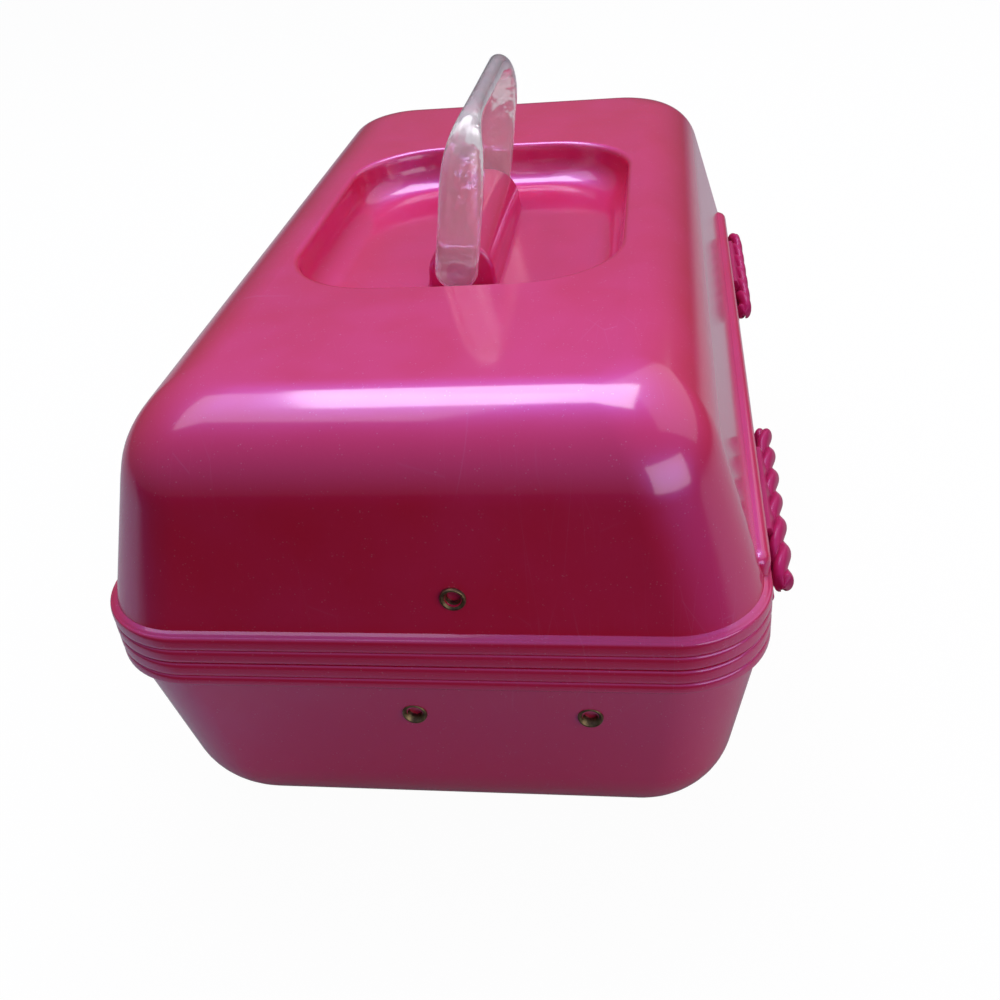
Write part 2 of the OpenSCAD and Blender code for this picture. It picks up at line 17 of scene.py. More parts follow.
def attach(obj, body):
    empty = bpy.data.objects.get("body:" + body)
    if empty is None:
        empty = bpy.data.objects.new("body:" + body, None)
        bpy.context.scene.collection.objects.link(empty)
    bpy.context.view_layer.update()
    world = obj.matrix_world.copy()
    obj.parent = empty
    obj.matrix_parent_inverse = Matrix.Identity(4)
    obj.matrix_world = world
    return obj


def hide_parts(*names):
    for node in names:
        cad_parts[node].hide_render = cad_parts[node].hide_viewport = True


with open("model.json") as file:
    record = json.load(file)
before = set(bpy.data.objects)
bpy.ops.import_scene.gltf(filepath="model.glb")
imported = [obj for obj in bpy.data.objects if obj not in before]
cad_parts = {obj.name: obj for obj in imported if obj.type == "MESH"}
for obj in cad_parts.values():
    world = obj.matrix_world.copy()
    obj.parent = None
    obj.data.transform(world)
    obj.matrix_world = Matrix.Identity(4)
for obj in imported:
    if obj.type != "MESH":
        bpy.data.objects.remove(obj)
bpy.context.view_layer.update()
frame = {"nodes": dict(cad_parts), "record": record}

MM = 0.001

# %% [markdown]
# ## The camera first
#
# The case is seen from its left end and from above, so its far end shrinks a great deal.
# A camera is a place, a direction and a lens. All three were worked out from the corners
# of the case, the rivets and the handle, and they are written here as plain numbers.

# %% The camera
EYE = Vector((-0.457352, -0.080557, 0.340485))
LOOKING = Vector((0.81901335, 0.14911074, -0.55406057)).normalized()
ROLL, SENSOR, FOCAL_SHARE = -0.107, 36, 1.1051
level_right = LOOKING.cross(Vector((0, 0, 1))).normalized()
level_up = level_right.cross(LOOKING)
right = math.cos(ROLL) * level_right + math.sin(ROLL) * level_up
up = math.cos(ROLL) * level_up - math.sin(ROLL) * level_right
camera_data = bpy.data.cameras.new("photo_camera")
camera_data.sensor_width = SENSOR
camera_data.lens = SENSOR * FOCAL_SHARE
camera_data.clip_start = 0.01
camera = bpy.data.objects.new("photo_camera", camera_data)
camera.matrix_world = Matrix((
    (right.x, up.x, -LOOKING.x, EYE.x),
    (right.y, up.y, -LOOKING.y, EYE.y),
    (right.z, up.z, -LOOKING.z, EYE.z),
    (0, 0, 0, 1)))
bpy.context.scene.collection.objects.link(camera)
bpy.context.scene.camera = camera
print("camera lens", round(camera_data.lens, 2), "mm")

# %% [markdown]
# ## Helpers for the bench
#
# Blender's operators act on whatever is selected, so every piece starts from a clean
# selection. `only` selects one object, `nothing` clears the selection before a primitive is
# added, and `apply` puts a modifier on a piece and applies it at once. `place_in_mesh` moves
# an object's place and turn into its mesh, so that the object itself sits at the origin.

# %% Selecting and applying


def only(piece):
    if bpy.context.object and bpy.context.object.mode != "OBJECT":
        bpy.ops.object.mode_set(mode="OBJECT")
    bpy.ops.object.select_all(action="DESELECT")
    piece.select_set(True)
    bpy.context.view_layer.objects.active = piece
    return piece


def nothing():
    bpy.ops.object.select_all(action="DESELECT")


def apply(piece, kind, **settings):
    only(piece)
    modifier = piece.modifiers.new(kind.lower(), kind)
    for name, value in settings.items():
        setattr(modifier, name, value)
    bpy.ops.object.modifier_apply(modifier=modifier.name)
    return piece


def place_in_mesh(piece):
    only(piece)
    bpy.ops.object.transform_apply(location=True, rotation=True, scale=True)
    return piece


print("bench cleared, lengths are in units of", MM, "m")

# %% [markdown]
# ## Smoothing, cutting and joining
#
# A moulding is smooth except where an edge is meant. `smooth` keeps the edges that turn by
# more than an angle and lets large flat faces decide the shading, so that they look flat.
# `cut_away` carves one shape out of another and throws the cutter away, `united` adds one
# shape to another, and `together` makes several pieces one object.

# %% Smoothing, cutting and joining


def smooth(piece, angle=40):
    only(piece)
    bpy.ops.object.shade_smooth_by_angle(angle=math.radians(angle))
    return apply(piece, "WEIGHTED_NORMAL", keep_sharp=True, weight=60)


def cut_away(piece, cutter, operation="DIFFERENCE"):
    apply(piece, "BOOLEAN", operation=operation, solver="EXACT", object=cutter)
    bpy.data.objects.remove(cutter)
    return piece


def united(piece, other):
    return cut_away(piece, other, "UNION")


def together(name, pieces):
    only(pieces[0])
    for piece in pieces[1:]:
        piece.select_set(True)
    if len(pieces) > 1:
        bpy.ops.object.join()
    joined = bpy.context.object
    joined.name = name
    joined.data.name = name
    print(name, "made of", len(pieces))
    return joined


print("edges sharper than 40 degrees stay sharp")

# %% [markdown]
# ## Rods and slabs
#
# Seats, barrels, studs and round cutters are all rods along X, and the webs behind the
# barrels are slabs. Both start as a primitive at its own size and place, and a small bevel
# breaks the edges.

# %% Rods and slabs


def rounded_rod(name, x0, x1, y, z, radius, edge=0.3, sides=64):
    nothing()
    x0, x1 = min(x0, x1), max(x0, x1)
    bpy.ops.mesh.primitive_cylinder_add(vertices=sides, radius=radius * MM, depth=(x1 - x0) * MM,
        location=((x0 + x1) / 2 * MM, y * MM, z * MM), rotation=(0, math.pi / 2, 0))
    rod = place_in_mesh(bpy.context.object)
    rod.name = name
    if edge:
        apply(rod, "BEVEL", width=edge * MM, segments=3, limit_method="ANGLE",
            angle_limit=math.radians(50))
    return rod


def slab(name, low, high, edge=0.4):
    nothing()
    bpy.ops.mesh.primitive_cube_add(size=1, location=[(a + b) / 2 * MM for a, b in zip(low, high)],
        scale=[(b - a) * MM for a, b in zip(low, high)])
    block = place_in_mesh(bpy.context.object)
    block.name = name
    return apply(block, "BEVEL", width=edge * MM, segments=3, limit_method="ANGLE") if edge else block


print("rods and slabs get a broken edge of 0.3 and 0.4 mm")

# %% [markdown]
# ## Rolling a flat sheet into a skin
#
# A moulded shell is one skin that runs up the outside, over the rim and down the inside.
# The skin starts as a flat grid: each column becomes a point of the case's outline and each
# row becomes one level of its profile. Rolled round, its first and last columns meet and
# are welded, and the two open ends are filled.

# %% The rolled skin


def rolled_skin(name, rings):
    columns, rows = len(rings[0]), len(rings) - 1
    nothing()
    bpy.ops.mesh.primitive_grid_add(x_subdivisions=columns, y_subdivisions=rows, size=1)
    skin = bpy.context.object
    skin.name = name
    skin.data.name = name
    for vertex in skin.data.vertices:
        column = round((vertex.co.x + 0.5) * columns) % columns
        row = round((vertex.co.y + 0.5) * rows)
        vertex.co = Vector(rings[row][column]) * MM
    only(skin)
    bpy.ops.object.mode_set(mode="EDIT")
    bpy.ops.mesh.select_all(action="SELECT")
    bpy.ops.mesh.remove_doubles(threshold=1e-7)
    bpy.ops.mesh.fill_holes(sides=0)
    bpy.ops.mesh.select_all(action="SELECT")
    bpy.ops.mesh.normals_make_consistent(inside=False)
    bpy.ops.object.mode_set(mode="OBJECT")
    print(name, len(skin.data.polygons), "faces")
    return skin


def mirrored(rings):
    return [[(-x, y, z) for x, y, z in ring] for ring in reversed(rings)]


print("a skin is rolled from rings of points in millimetres")

# %% [markdown]
# ## The outline of the case
#
# Seen from above, the case is a rectangle with rounded corners. Only a quarter of it is
# worked out. The rest is that quarter mirrored, so both ends come out alike.

# %% Outline helpers
HALF_L, HALF_D, HEIGHT = 197.0, 115.0, 184.0
SEAM, GAP, WALL, RIM_CORNER = 98.4, 0.3, 2.5, 33
SIDE_STEPS, CORNER_STEPS = 5, 20


def whole_ring(quarter, top, z):
    half = quarter + [(0, top)] + [(-x, y) for x, y in reversed(quarter[1:])]
    return [(x, y, z) for x, y in half] + [(-x, -y, z) for x, y in half]


def round_ring(hx, hy, r, z):
    turn = [math.radians(90 * i / CORNER_STEPS) for i in range(CORNER_STEPS + 1)]
    quarter = [(hx, (hy - r) * i / SIDE_STEPS) for i in range(SIDE_STEPS)]
    quarter += [(hx - r + r * math.cos(a), hy - r + r * math.sin(a)) for a in turn]
    quarter += [((hx - r) * (1 - i / SIDE_STEPS), hy) for i in range(1, SIDE_STEPS)]
    return whole_ring(quarter, hy, z)


def rim_ring(inset, z):
    return round_ring(HALF_L - inset, HALF_D - inset, RIM_CORNER - inset, z)


print("points in one ring:", len(rim_ring(0, SEAM)))

# %% [markdown]
# ## Walls that turn over into a round edge
#
# Each wall leans in a little, which lets the part leave its mould, and then turns over into
# a large round edge. The turn starts exactly where the arc is parallel to the leaning wall,
# so no crease shows, and the end walls and the long walls have their own lean and radius.

# %% Drafted walls


def flat_in(z0, draft, z_end, r, step):
    a = math.atan(draft)
    return step + draft * (abs(z_end - z0) - r * (1 - math.sin(a))) + r * math.cos(a)


def turned_in(z, z0, draft, z_end, r, step, flat):
    h = abs(z_end - z)
    if h > r * (1 - math.sin(math.atan(draft))):
        return step + draft * abs(z - z0)
    return flat - math.sqrt(max(0.0, r * r - max(0.0, r - h) ** 2))


LID_STEP, LID_WALL_Z, LID_SHRINK = 2.95, 110.7, 0.35
END_DRAFT, SIDE_DRAFT, END_R, SIDE_R = 0.11, 0.29, 32.4, 30.8
BASE_STEP, RIM_LOW_Z, BASE_DRAFT, BOTTOM_R = 2.1, 88.7, 0.174, 44.6
BASE_CORNER, BASE_SHRINK = 34.4, 0.5
END_FLAT = flat_in(LID_WALL_Z, END_DRAFT, HEIGHT, END_R, LID_STEP)
SIDE_FLAT = flat_in(LID_WALL_Z, SIDE_DRAFT, HEIGHT, SIDE_R, LID_STEP)
BASE_FLAT = flat_in(RIM_LOW_Z, BASE_DRAFT, 0, BOTTOM_R, BASE_STEP)
print("flat of the lid", round(HALF_L - END_FLAT, 1), round(HALF_D - SIDE_FLAT, 1))

# %% [markdown]
# ## One level of the lid or of the base
#
# A ring at height z has its own insets and its own corner, because the corners tighten as
# the walls lean in. The inner skin is the same ring drawn in by the wall's thickness `t`.
# Where the wall turns over, it borrows the outline of a level nearer the flat, which keeps
# the wall even. Ridges of one soft profile make the rim.

# %% Rings of the lid, the base and the rim
CREST = [(1.1, 0), (0.72, 0.1), (0.42, 0.3), (0.2, 0.62), (0.07, 1.1), (0.0, 1.8), (0.0, 3.7),
    (0.07, 4.4), (0.2, 4.88), (0.42, 5.2), (0.72, 5.4)]
RIDGE_PITCH = 5.5


def lid_ring(z, t=0.0, outer_z=None):
    zo = z if outer_z is None else outer_z
    ix = turned_in(zo, LID_WALL_Z, END_DRAFT, HEIGHT, END_R - t, LID_STEP + t, END_FLAT)
    iy = turned_in(zo, LID_WALL_Z, SIDE_DRAFT, HEIGHT, SIDE_R - t, LID_STEP + t, SIDE_FLAT)
    r = RIM_CORNER - LID_STEP - LID_SHRINK * (ix - LID_STEP - t) - t
    return round_ring(HALF_L - ix, HALF_D - iy, r, z)


def base_ring(z, t=0.0, outer_z=None):
    zo = z if outer_z is None else outer_z
    i = turned_in(zo, RIM_LOW_Z, BASE_DRAFT, 0, BOTTOM_R - t, BASE_STEP + t, BASE_FLAT)
    return round_ring(HALF_L - i, HALF_D - i, BASE_CORNER - BASE_SHRINK * (i - t) - t / 2, z)


def ridge(z):
    return [rim_ring(inset, z + up_by) for inset, up_by in CREST]


def edge_angles(start, steps):
    return [math.radians(start + (90 - start) * i / steps) for i in range(steps + 1)]


print("one ridge has", len(ridge(SEAM)), "rings")

# %% [markdown]
# ## The recess in the lid
#
# The handle folds into a wide dish. Its ends bow very slightly outwards, its corners are
# large and round, and its walls drop steeply and then sweep into the floor with a generous
# fillet, which is where the light gathers. Each pair of the lip is a distance in from the
# dish's edge and a depth under the top, and the lid's inner skin follows under it.

# %% The outline and the profile of the recess
DISH_X, DISH_Y, DISH_END_R, DISH_CORNER_R, DISH_SHRINK = 86.0, 65.0, 500.0, 39.0, 0.4
LIP = [(-1.6, 0), (-0.9, 0.1), (-0.2, 0.4), (0.4, 0.95), (0.8, 1.7), (1.05, 2.8), (1.25, 4.4),
    (1.5, 6.8), (1.85, 8.8), (2.5, 10.7), (3.6, 12.6), (5.2, 14.4), (7.2, 15.9), (9.4, 16.9),
    (11.8, 17.4), (14.2, 17.5)]
UNDER = [(14, 20), (10.5, 19.6), (7.6, 18.6), (4.9, 16.9), (2.9, 14.9), (1.3, 12.4), (0.2, 9.6),
    (-0.8, 6), (-2.2, 2.6)]


def bow(y, d):
    return DISH_X - d - DISH_END_R + math.sqrt(DISH_END_R ** 2 - y * y)


def dish_ring(d, z):
    r = DISH_CORNER_R - DISH_SHRINK * d
    hy = DISH_Y - d
    first = math.asin((hy - r) / (DISH_END_R - r))
    ye = hy - r + r * math.sin(first)
    cx = bow(ye, d) - r * math.cos(first)
    turn = [first + (math.pi / 2 - first) * i / CORNER_STEPS for i in range(CORNER_STEPS + 1)]
    quarter = [(bow(ye * i / SIDE_STEPS, d), ye * i / SIDE_STEPS) for i in range(SIDE_STEPS)]
    quarter += [(cx + r * math.cos(a), hy - r + r * math.sin(a)) for a in turn]
    quarter += [(cx * (1 - i / SIDE_STEPS), hy) for i in range(1, SIDE_STEPS)]
    return whole_ring(quarter, hy, z)


print("recess", 2 * DISH_X, "by", 2 * DISH_Y, "mm and", LIP[-1][1], "mm deep")

# %% [markdown]
# ## The base
#
# The skin of the base starts in the middle of its standing face, comes up the outside,
# passes two ridges of the rim, turns over at the seam into a thin upstand that the lid
# drops over, and goes back down the inside.

# %% The skin of the base
INNER_STEPS = 12
LOW_RIDGE = [(1.1, 88.72), (0.45, 88.85), (0.12, 89.3), (0, 90), (0, 91.2), (0.07, 91.8),
    (0.2, 92.28), (0.42, 92.6), (0.72, 92.8)]
UPSTAND = [(6, SEAM), (6, 100.9), (6.3, 101.2), (7.3, 101.2), (7.6, 100.9), (7.6, RIM_LOW_Z)]
outer_turn = [BOTTOM_R * (1 - math.sin(a)) for a in reversed(edge_angles(10, 18))]
inner_turn = [WALL + (BOTTOM_R - WALL) * (1 - math.sin(a)) for a in edge_angles(10, INNER_STEPS)]
base_rings = [base_ring(z) for z in outer_turn + [60, 75, 88.3, RIM_LOW_Z]]
base_rings += [rim_ring(inset, z) for inset, z in LOW_RIDGE]
base_rings += ridge(SEAM - RIDGE_PITCH) + [rim_ring(CREST[0][0], SEAM)]
base_rings += [rim_ring(inset, z) for inset, z in UPSTAND]
base_rings += [base_ring(RIM_LOW_Z - 6, WALL)]
base_rings += [base_ring(z, WALL, z - WALL * i / INNER_STEPS) for i, z in enumerate(inner_turn)]
base_shell = rolled_skin("base_shell_moulding", base_rings)

# %% [markdown]
# ## The lid
#
# The lid is one skin too. It starts under the floor of the dish, runs down the inside of
# the lid, turns at the seam, climbs the two upper ridges and the wall, rolls over the top
# and drops into the dish.

# %% The skin of the lid
LOW = SEAM + GAP
SKIRT = [(5.4, LID_WALL_Z - 1), (5.4, LOW + 0.3), (5.1, LOW), (1.4, LOW)]
LEDGE = [(1.15, 109.75), (1.3, 109.95), (1.9, 110.3)]
TOP_IN_X, TOP_IN_Y, TOP_CORNER = 4, 0.4, 16
lid_turn = [HEIGHT - END_R * (1 - math.sin(a)) for a in edge_angles(6, 20)]
lid_turn_in = [HEIGHT - WALL - (END_R - WALL) * (1 - math.sin(a))
    for a in reversed(edge_angles(14, INNER_STEPS))]
lid_rings = [dish_ring(d, HEIGHT - down) for d, down in UNDER]
lid_rings += [lid_ring(z, WALL, z + WALL * (INNER_STEPS - i) / INNER_STEPS)
    for i, z in enumerate(lid_turn_in)]
lid_rings += [lid_ring(LID_WALL_Z, WALL)] + [rim_ring(inset, z) for inset, z in SKIRT]
lid_rings += ridge(LOW) + ridge(LOW + RIDGE_PITCH)
lid_rings += [rim_ring(inset, z) for inset, z in LEDGE]
lid_rings += [lid_ring(z) for z in [110.75, 111.6, 125, 140] + lid_turn]
lid_rings += [round_ring(HALF_L - END_FLAT - TOP_IN_X, HALF_D - SIDE_FLAT - TOP_IN_Y, TOP_CORNER, HEIGHT)]
lid_rings += [dish_ring(d, HEIGHT - down) for d, down in LIP]
lid_shell = rolled_skin("lid_shell_moulding", lid_rings)

# %% [markdown]
# ## Holes through the shells
#
# The eyelets are hollow, so one can look a little way into them. That only works if the
# wall behind has a real hole. The lid's rim also has a slot for each latch to hook into.
# A cut leaves long thin faces around it, which would catch the light unevenly on a flat
# wall, so a copy of the base from before the cuts is kept to lend its smooth shading later.

# %% Rivet holes and latch slots
REAR_PIVOT, FRONT_PIVOT, LID_PIVOT = (5.0, 73.5), (-55.0, 73.5), (-14.0, 124.0)
LATCH_X, LATCH_HALF, NIB_Z, NIB_HIGH = 108.5, 27.4, 108.3, 2.2
HOLE_R, HOLE_X, HOLE_REACH = 2.62, 191, 10
SLOT_Y, SLOT_DEEP, SLOT_SPARE = 1.2 - HALF_D, 3.0, 0.6


def hole(y, z, side):
    return rounded_rod("cutter", side * HOLE_X - HOLE_REACH, side * HOLE_X + HOLE_REACH, y, z, HOLE_R,
        edge=0, sides=32)


smooth(base_shell)
nothing()
uncut = base_shell.copy()
uncut.data = base_shell.data.copy()
bpy.context.scene.collection.objects.link(uncut)
for side in (-1, 1):
    for y, z in (REAR_PIVOT, FRONT_PIVOT):
        cut_away(base_shell, hole(y, z, side))
    cut_away(lid_shell, hole(*LID_PIVOT, side))
    half = (LATCH_HALF + SLOT_SPARE, SLOT_DEEP / 2, (NIB_HIGH + 1) / 2)
    middle = (side * LATCH_X, SLOT_Y, NIB_Z + NIB_HIGH / 2)
    cut_away(lid_shell, slab("cutter", [m - h for m, h in zip(middle, half)],
        [m + h for m, h in zip(middle, half)], edge=0))
print("holes cut, lid has", len(lid_shell.data.polygons), "faces")

# %% [markdown]
# ## Hollow eyelets
#
# An eyelet is a short tube with one end rolled outwards into a lip. From the front it is a
# small cup: the upper half of its throat lies in shade and the lower half catches light, and
# that is how the photograph shows it. The cup is turned from a short profile. Each pair of
# the throat is a radius and a distance out from the seat on the wall.

# %% The eyelets
TUBE_R, THROAT_R, THROAT_DEEP = 2.6, 2.2, 5.0
TAIL_X, TAIL_R, TAIL_HIGH, CENTRE_R = 184.7, 4.1, 0.6, 0.3
BASE_SEAT, LID_SEAT, EYELET_SIDES = 192.0, 192.3, 48
THROAT = [(CENTRE_R, -THROAT_DEEP), (2.0, -THROAT_DEEP), (THROAT_R, -4.6), (THROAT_R, -1.2), (2.3, -0.6),
    (2.55, -0.1), (2.85, 0.4), (3.15, 0.8), (3.4, 1.1), (3.6, 1.25), (3.8, 1.3), (4.0, 1.22),
    (4.2, 0.95), (4.32, 0.55), (4.35, 0.2), (4.25, 0.0)]


def eyelet(seat, y, z, side):
    tail = TAIL_X - seat
    stem = [(TUBE_R, 0.0), (TUBE_R, tail), (TAIL_R, tail), (TAIL_R, tail - TAIL_HIGH),
        (CENTRE_R, tail - TAIL_HIGH)]
    turn = [2 * math.pi * i / EYELET_SIDES for i in range(EYELET_SIDES)]
    return rolled_skin("eyelet", [[(side * (seat + out), y + r * math.cos(a), z + r * math.sin(a))
        for a in turn] for r, out in THROAT + stem])


base_eyelets = together("base_eyelets", [eyelet(BASE_SEAT, y, z, side)
    for side in (-1, 1) for y, z in (REAR_PIVOT, FRONT_PIVOT)])
lid_eyelets = together("lid_eyelets", [eyelet(LID_SEAT, *LID_PIVOT, side) for side in (-1, 1)])
for eyelets in (base_eyelets, lid_eyelets):
    smooth(eyelets, 45)

# %% [markdown]
# ## The bar that carries the handle
#
# A round-topped bar crosses the dish. Its sides flare a little at the foot, because a sharp
# inside corner would crack, and its two end faces have a soft edge. It is one skin again,
# rolled around the X axis this time, and its ends shrink a little to round the edge.

# %% The bar
BAR_HALF, BAR_TOP, BAR_R, BAR_EDGE, ARCH_STEPS = 46.5, 185.0, 13.5, 1.8, 40
BAR_FOOT_Y, BAR_FOOT_Z = 15.0, 165.2
FLARE = [(15.0, 165.8), (14.6, 166.6), (14.2, 167.4), (13.9, 168.4), (13.6, 170.0)]


def bar_ring(x, t):
    centre, r = BAR_TOP - BAR_R, BAR_R - t
    arch = [math.radians(180 * i / ARCH_STEPS) for i in range(ARCH_STEPS + 1)]
    near = [(y - t, z - t * 0.3) for y, z in FLARE]
    top = [(r * math.cos(a), centre + r * math.sin(a)) for a in arch]
    far = [(-y, z) for y, z in reversed(near)]
    ring = [(BAR_FOOT_Y - t, BAR_FOOT_Z)] + near + top + far + [(t - BAR_FOOT_Y, BAR_FOOT_Z)]
    return [(x, y, z) for y, z in ring]


bar_rings = [bar_ring(-BAR_HALF + BAR_EDGE * (1 - math.cos(a)), BAR_EDGE * (1 - math.sin(a)))
    for a in edge_angles(0, 6)]
bar_rings += [bar_ring(-30, 0), bar_ring(-10, 0)]
bar_rings += mirrored(bar_rings)
handle_bar = smooth(rolled_skin("lid_handle_bar", bar_rings), 50)

# %% [markdown]
# ## The raised band behind the latches
#
# The foot of the lid's front wall carries a low band with a soft upper edge. It gives the
# latches a flat face to lie against. A profile is rolled along X and drawn in at both ends.

# %% The band on the lid's front
BAND_HALF, BAND_OUT, BAND_DRAWN_IN, BAND_END = 164, 0.4, 4, 6
BAND_LOW, BAND_BACK = 103.5, -107
BAND_EDGE = [(0, BAND_LOW), (0, 113.6), (0.15, 114.9), (0.6, 116.2), (1.4, 117.2), (2.5, 117.8),
    (3.6, 118.0)]


def band_ring(x, t):
    profile = [(-HALF_D + BAND_OUT + t + back, z) for back, z in BAND_EDGE]
    profile += [(BAND_BACK, 118.0), (BAND_BACK, BAND_LOW)]
    return [(x, y, z - (t * 0.4 if z > 110 else 0)) for y, z in profile]


band_rings = [band_ring(-BAND_HALF + back, BAND_DRAWN_IN * (1 - math.sin(math.acos(1 - back / BAND_END))))
    for back in (0, 0.25, 0.8, 1.8, 3.2, 4.6, BAND_END)]
band_rings += [band_ring(x, 0) for x in (-120, -60)]
band_rings += mirrored(band_rings)
front_band = smooth(rolled_skin("lid_front_band", band_rings), 50)

# %% [markdown]
# ## Hinge knuckles and latch lugs
#
# The hinges are moulded on. Each knuckle is a short barrel on a web that reaches back to
# the rim. The barrels of base and lid take turns along one pin. The same shape, a barrel
# with a web, carries each end of a latch pin.

# %% Barrels on webs
HINGE_X, HINGE_Y, KNUCKLE_R, BASE_KNUCKLE_X = 112, 118.2, 4.99, 18
BASE_KNUCKLE, LID_KNUCKLE = 12, 23
LATCH_PIVOT, LATCH_BARREL_R = (-115.6, 83.0), 3
LUG_HALF, LUG_OUT, LUG_BELOW, LUG_ABOVE, LUG_DEEP = 2, 2.4, 2.9, 5.2, 5


def knuckle(x, length, z_low, z_high):
    x0, x1 = x - length / 2, x + length / 2
    barrel = rounded_rod("barrel", x0, x1, HINGE_Y, SEAM, KNUCKLE_R, edge=0.5)
    return united(barrel, slab("web", (x0 + 0.1, HALF_D - 3, z_low), (x1 - 0.1, HINGE_Y, z_high)))


def lug(x):
    y, z = LATCH_PIVOT
    barrel = rounded_rod("lug", x - LUG_HALF, x + LUG_HALF, y, z, LATCH_BARREL_R, edge=0.4)
    half = LUG_HALF - 0.05
    return united(barrel, slab("web", (x - half, y, z - LUG_BELOW), (x + half, y + LUG_DEEP, z + LUG_ABOVE)))


print("a hinge is", 2 * BASE_KNUCKLE_X + BASE_KNUCKLE, "mm long")

# %% [markdown]
# ## Fittings of the base and the lid
#
# Inside the walls, a low round seat goes around each eyelet's stem and gives its washer a
# flat face. The seats, knuckles and lugs of one shell become one object. Now that all cuts
# are made, the shells are smoothed, and the base takes its shading from the uncut copy.

# %% Seats, knuckles and lugs
SEAT_R, SEAT_IN, BASE_SEAT_OUT, LID_SEAT_OUT = 7, 188.2, 190.4, 190.6
base_bits, lid_bits = [], []
for side in (-1, 1):
    for way in (-1, 1):
        base_bits.append(knuckle(side * HINGE_X + way * BASE_KNUCKLE_X, BASE_KNUCKLE,
            RIM_LOW_Z + 1, SEAM - 0.3))
        base_bits.append(lug(side * LATCH_X + way * (LATCH_HALF + LUG_OUT)))
    lid_bits.append(knuckle(side * HINGE_X, LID_KNUCKLE, SEAM + 0.3, LOW + 8.5))
    for y, z in (REAR_PIVOT, FRONT_PIVOT):
        base_bits.append(rounded_rod("seat", side * SEAT_IN, side * BASE_SEAT_OUT, y, z, SEAT_R))
    lid_bits.append(rounded_rod("seat", side * SEAT_IN, side * LID_SEAT_OUT, *LID_PIVOT, SEAT_R))
base_fittings = smooth(together("base_fittings", base_bits))
lid_fittings = smooth(together("lid_fittings", lid_bits))
smooth(base_shell, 50)
smooth(lid_shell, 50)
apply(base_shell, "DATA_TRANSFER", object=uncut, use_loop_data=True,
    data_types_loops={"CUSTOM_NORMAL"}, loop_mapping="POLYINTERP_NEAREST")
bpy.data.objects.remove(uncut)

# %% [markdown]
# ## The path of the clear handle
#
# The bail is one loft: a flattened oval that is wide at the foot and narrower and thinner
# at the grip, carried along an arch. The arch is a superellipse, a curve between an ellipse
# and a rectangle, which gives straight legs and generous shoulders. Points that lie too
# close together are left out, because they would crease the skin.

# %% The path of the bail
BAIL_HALF, RISE, ARCH, POWER = 56.4, 56.93, 39.0, 6.0
FOOT_W, GRIP_W, LEG_T, GRIP_T, WAIST = 17.0, 7.4, 12.7, 8.8, 1.58
SECTION, PATH_STEPS, CLOSEST = 36, 96, 0.35
LEG_SQUARENESS = 0.7


def oval(i, squareness):
    a = 2 * math.pi * i / SECTION
    c, s = math.cos(a), math.sin(a)
    return math.copysign(abs(c) ** squareness, c), math.copysign(abs(s) ** squareness, s)


def arch_point(a):
    c, k = math.cos(a), max(math.sin(a), 0.0)
    x = -BAIL_HALF * math.copysign(abs(c) ** (2 / POWER), c)
    return x, RISE - ARCH + ARCH * k ** (2 / POWER), k


path = [arch_point(math.pi * i / PATH_STEPS) for i in range(PATH_STEPS + 1)]
path = [path[0]] + [p for p, q in zip(path[1:], path) if math.dist(p[:2], q[:2]) > CLOSEST]
print("the bail's path has", len(path), "points")

# %% [markdown]
# ## The legs and the grip
#
# At each point of the path the oval stands square to the path. `k` runs from 0 at a foot to
# 1 at the top of the grip, and width, thickness and squareness change with it.

# %% The rings of the bail
bail_rings = []
for i, (x, z, k) in enumerate(path):
    before, after = path[max(i - 1, 0)], path[min(i + 1, len(path) - 1)]
    dx, dz = after[0] - before[0], after[1] - before[1]
    length = math.hypot(dx, dz)
    nx, nz = -dz / length, dx / length
    half_w = (FOOT_W + (GRIP_W - FOOT_W) * k ** WAIST) / 2
    half_t = (LEG_T + (GRIP_T - LEG_T) * k) / 2
    squareness = LEG_SQUARENESS + (1 - LEG_SQUARENESS) * k
    bail_rings.append([(x + nx * half_t * u, half_w * v, z + nz * half_t * u)
        for u, v in (oval(j, squareness) for j in range(SECTION))])
print("the grip is", GRIP_W, "by", GRIP_T, "mm")

# %% [markdown]
# ## The feet and the studs
#
# Below its pivot each leg ends flat with a round edge, a little above the dish's floor.
# Studs on the inside of the feet turn in the ends of the bar. They are united with the bail,
# because a clear piece that overlaps another shows the overlap. The whole bail leans a
# little to the front, as it does when the case has been put down.

# %% The bail
PIVOT_Z, LEAN, FOOT_LOW, FOOT_ROUND = 175.8, 9.5, 4.6, 6.5
STUD_IN, STUD_OUT, STUD_R = 41.6, 54, 4


def foot_ring(x, height, width, thick):
    return [(x - thick / 2 * u, width / 2 * v, height)
        for u, v in (oval(j, LEG_SQUARENESS) for j in range(SECTION))]


left_foot = []
for a in (math.radians(degrees) for degrees in range(90, -10, -10)):
    drawn_in = FOOT_ROUND * (1 - math.cos(a))
    left_foot.append(foot_ring(-BAIL_HALF, FOOT_ROUND * (1 - math.sin(a)) - FOOT_LOW,
        FOOT_W - 2 * drawn_in, LEG_T - drawn_in))
left_foot += [foot_ring(-BAIL_HALF, height, FOOT_W, LEG_T) for height in (4, 8, 13)]
bail = rolled_skin("handle_bail", left_foot + bail_rings + mirrored(left_foot))
for side in (-1, 1):
    united(bail, rounded_rod("stud", side * STUD_IN, side * STUD_OUT, 0, 0, STUD_R, edge=0.4))
bail.rotation_euler = (math.radians(LEAN), 0, 0)
bail.location = (0, 0, PIVOT_Z * MM)
place_in_mesh(bail)
smooth(bail, 60)

# %% [markdown]
# ## The rope of a latch's grip
#
# The grip of each latch looks like a short rope: two strands twisted together. The outline
# of two touching circles is turned a little further at every step along the grip. It is
# taller than it is deep, and it draws in at both tips, where the steps lie closer together.

